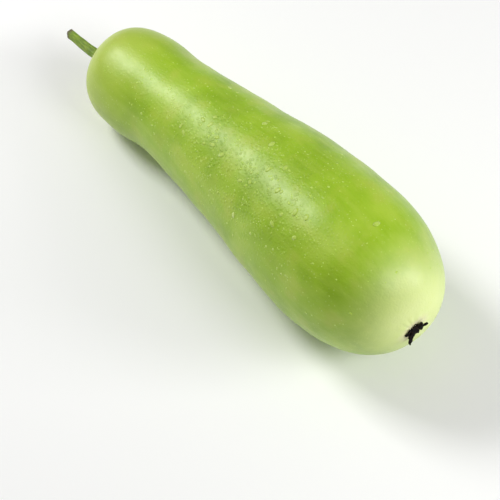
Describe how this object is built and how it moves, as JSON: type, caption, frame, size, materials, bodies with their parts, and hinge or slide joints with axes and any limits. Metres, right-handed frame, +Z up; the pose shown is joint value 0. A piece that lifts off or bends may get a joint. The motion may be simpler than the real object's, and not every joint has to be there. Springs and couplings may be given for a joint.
{
  "type": "bottle gourd",
  "caption": "Pale green bottle gourd lying on its side: a slightly bowed fruit with a narrow neck and a round bulb, its ribbed stem stub, and the dark dried remnant of its blossom.",
  "frame": {"origin": "on the surface that the gourd rests on, under the middle of its bounding box", "axes": "+X along the gourd from the stem end to the blossom end, +Y to the side that it bows towards, +Z up"},
  "size_m": [0.3486, 0.105, 0.1033],
  "materials": {
    "gourd_skin": "satin",
    "green_stalk": "matte",
    "dried_petal": "matte"
  },
  "bodies": {
    "root": {"fruit": "gourd_skin", "stem": "green_stalk", "blossom_remnant": "dried_petal"}
  },
  "joints": []
}
